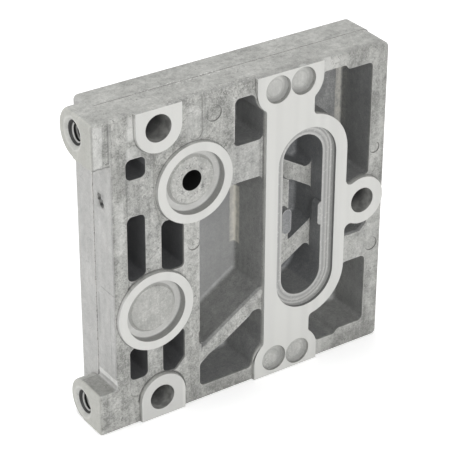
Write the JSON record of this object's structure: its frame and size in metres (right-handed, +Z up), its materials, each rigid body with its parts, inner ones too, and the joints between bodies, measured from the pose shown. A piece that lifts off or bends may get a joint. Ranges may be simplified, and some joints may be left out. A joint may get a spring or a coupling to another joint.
{
  "type": "valve end plate",
  "caption": "Die-cast aluminium end plate for a sectional hydraulic valve, with machined pads, ribbed pockets, an obround cavity, a port seat and threaded side bosses.",
  "frame": {"origin": "Where the axis of the single right-hand tie-bolt hole meets the machined mating face, a little above half the plate's height.", "axes": "+Y goes from the mating face through the plate to its plain back, +Z is up along the side with the two threaded bosses at its back left, and +X points right as the mating face is looked at."},
  "size_m": [0.1032, 0.0212, 0.1037],
  "materials": {
    "cast_aluminium": "satin"
  },
  "bodies": {
    "root": {"end_plate": "cast_aluminium"}
  },
  "joints": []
}
